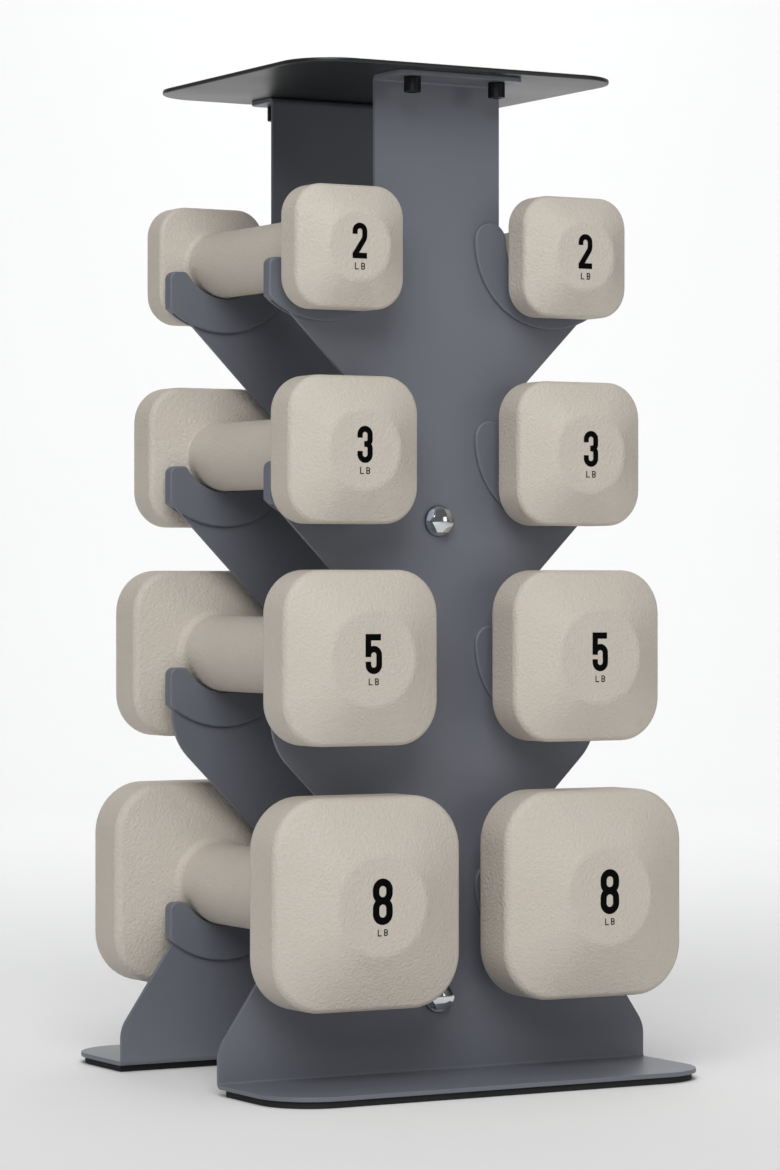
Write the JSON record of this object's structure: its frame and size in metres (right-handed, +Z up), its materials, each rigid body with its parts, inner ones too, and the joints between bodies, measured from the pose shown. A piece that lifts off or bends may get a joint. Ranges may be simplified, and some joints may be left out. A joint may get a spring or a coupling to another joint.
{
  "type": "dumbbell rack",
  "caption": "Freestanding sheet-steel tower with lined cradles on both sides, a flat top tray and folded feet, holding pairs of coated square-head dumbbells.",
  "frame": {"origin": "on the ground, under the middle of the tower", "axes": "+X right, +Y to the back, +Z up; the numbered end discs face -Y and +Y"},
  "size_m": [0.213, 0.213, 0.436],
  "materials": {
    "powder_coated_steel": "slate-grey matte powder coat",
    "black_coated_steel": "satin black powder coat",
    "moulded_liner": "slate-grey moulded plastic, fine matte texture",
    "soft_coat": "warm greige vinyl moulded over the iron, with a fine leathery grain",
    "cast_iron_core": "as cast, hidden inside the coat",
    "chromed_steel": "bright chrome plate",
    "black_oxide_steel": "black oxide",
    "foot_rubber": "matte black rubber"
  },
  "bodies": {
    "tower": {"front_upright": "powder_coated_steel", "rear_upright": "powder_coated_steel", "top_tray": "black_coated_steel", "tray_screws": "black_oxide_steel", "upper_spacer": "powder_coated_steel", "lower_spacer": "powder_coated_steel", "hex_bolts": "chromed_steel", "bolt_washers": "chromed_steel", "front_foot_pad": "foot_rubber", "rear_foot_pad": "foot_rubber", "liner_8lb_front_left": "moulded_liner", "liner_8lb_front_right": "moulded_liner", "liner_8lb_rear_left": "moulded_liner", "liner_8lb_rear_right": "moulded_liner", "liner_5lb_front_left": "moulded_liner", "liner_5lb_front_right": "moulded_liner", "liner_5lb_rear_left": "moulded_liner", "liner_5lb_rear_right": "moulded_liner", "liner_3lb_front_left": "moulded_liner", "liner_3lb_front_right": "moulded_liner", "liner_3lb_rear_left": "moulded_liner", "liner_3lb_rear_right": "moulded_liner", "liner_2lb_front_left": "moulded_liner", "liner_2lb_front_right": "moulded_liner", "liner_2lb_rear_left": "moulded_liner", "liner_2lb_rear_right": "moulded_liner"},
    "dumbbell_8lb_left": {"coat_8lb_left": "soft_coat", "core_8lb_left": "cast_iron_core"},
    "dumbbell_8lb_right": {"coat_8lb_right": "soft_coat", "core_8lb_right": "cast_iron_core"},
    "dumbbell_5lb_left": {"coat_5lb_left": "soft_coat", "core_5lb_left": "cast_iron_core"},
    "dumbbell_5lb_right": {"coat_5lb_right": "soft_coat", "core_5lb_right": "cast_iron_core"},
    "dumbbell_3lb_left": {"coat_3lb_left": "soft_coat", "core_3lb_left": "cast_iron_core"},
    "dumbbell_3lb_right": {"coat_3lb_right": "soft_coat", "core_3lb_right": "cast_iron_core"},
    "dumbbell_2lb_left": {"coat_2lb_left": "soft_coat", "core_2lb_left": "cast_iron_core"},
    "dumbbell_2lb_right": {"coat_2lb_right": "soft_coat", "core_2lb_right": "cast_iron_core"}
  },
  "joints": [
    {"name": "lift_8lb_left", "type": "slide", "parent": "tower", "child": "dumbbell_8lb_left", "axis": [0, 0, 1], "range_m": [0, 0.012]},
    {"name": "lift_8lb_right", "type": "slide", "parent": "tower", "child": "dumbbell_8lb_right", "axis": [0, 0, 1], "range_m": [0, 0.012]},
    {"name": "lift_5lb_left", "type": "slide", "parent": "tower", "child": "dumbbell_5lb_left", "axis": [0, 0, 1], "range_m": [0, 0.012]},
    {"name": "lift_5lb_right", "type": "slide", "parent": "tower", "child": "dumbbell_5lb_right", "axis": [0, 0, 1], "range_m": [0, 0.012]},
    {"name": "lift_3lb_left", "type": "slide", "parent": "tower", "child": "dumbbell_3lb_left", "axis": [0, 0, 1], "range_m": [0, 0.012]},
    {"name": "lift_3lb_right", "type": "slide", "parent": "tower", "child": "dumbbell_3lb_right", "axis": [0, 0, 1], "range_m": [0, 0.012]},
    {"name": "lift_2lb_left", "type": "slide", "parent": "tower", "child": "dumbbell_2lb_left", "axis": [0, 0, 1], "range_m": [0, 0.012]},
    {"name": "lift_2lb_right", "type": "slide", "parent": "tower", "child": "dumbbell_2lb_right", "axis": [0, 0, 1], "range_m": [0, 0.012]}
  ]
}
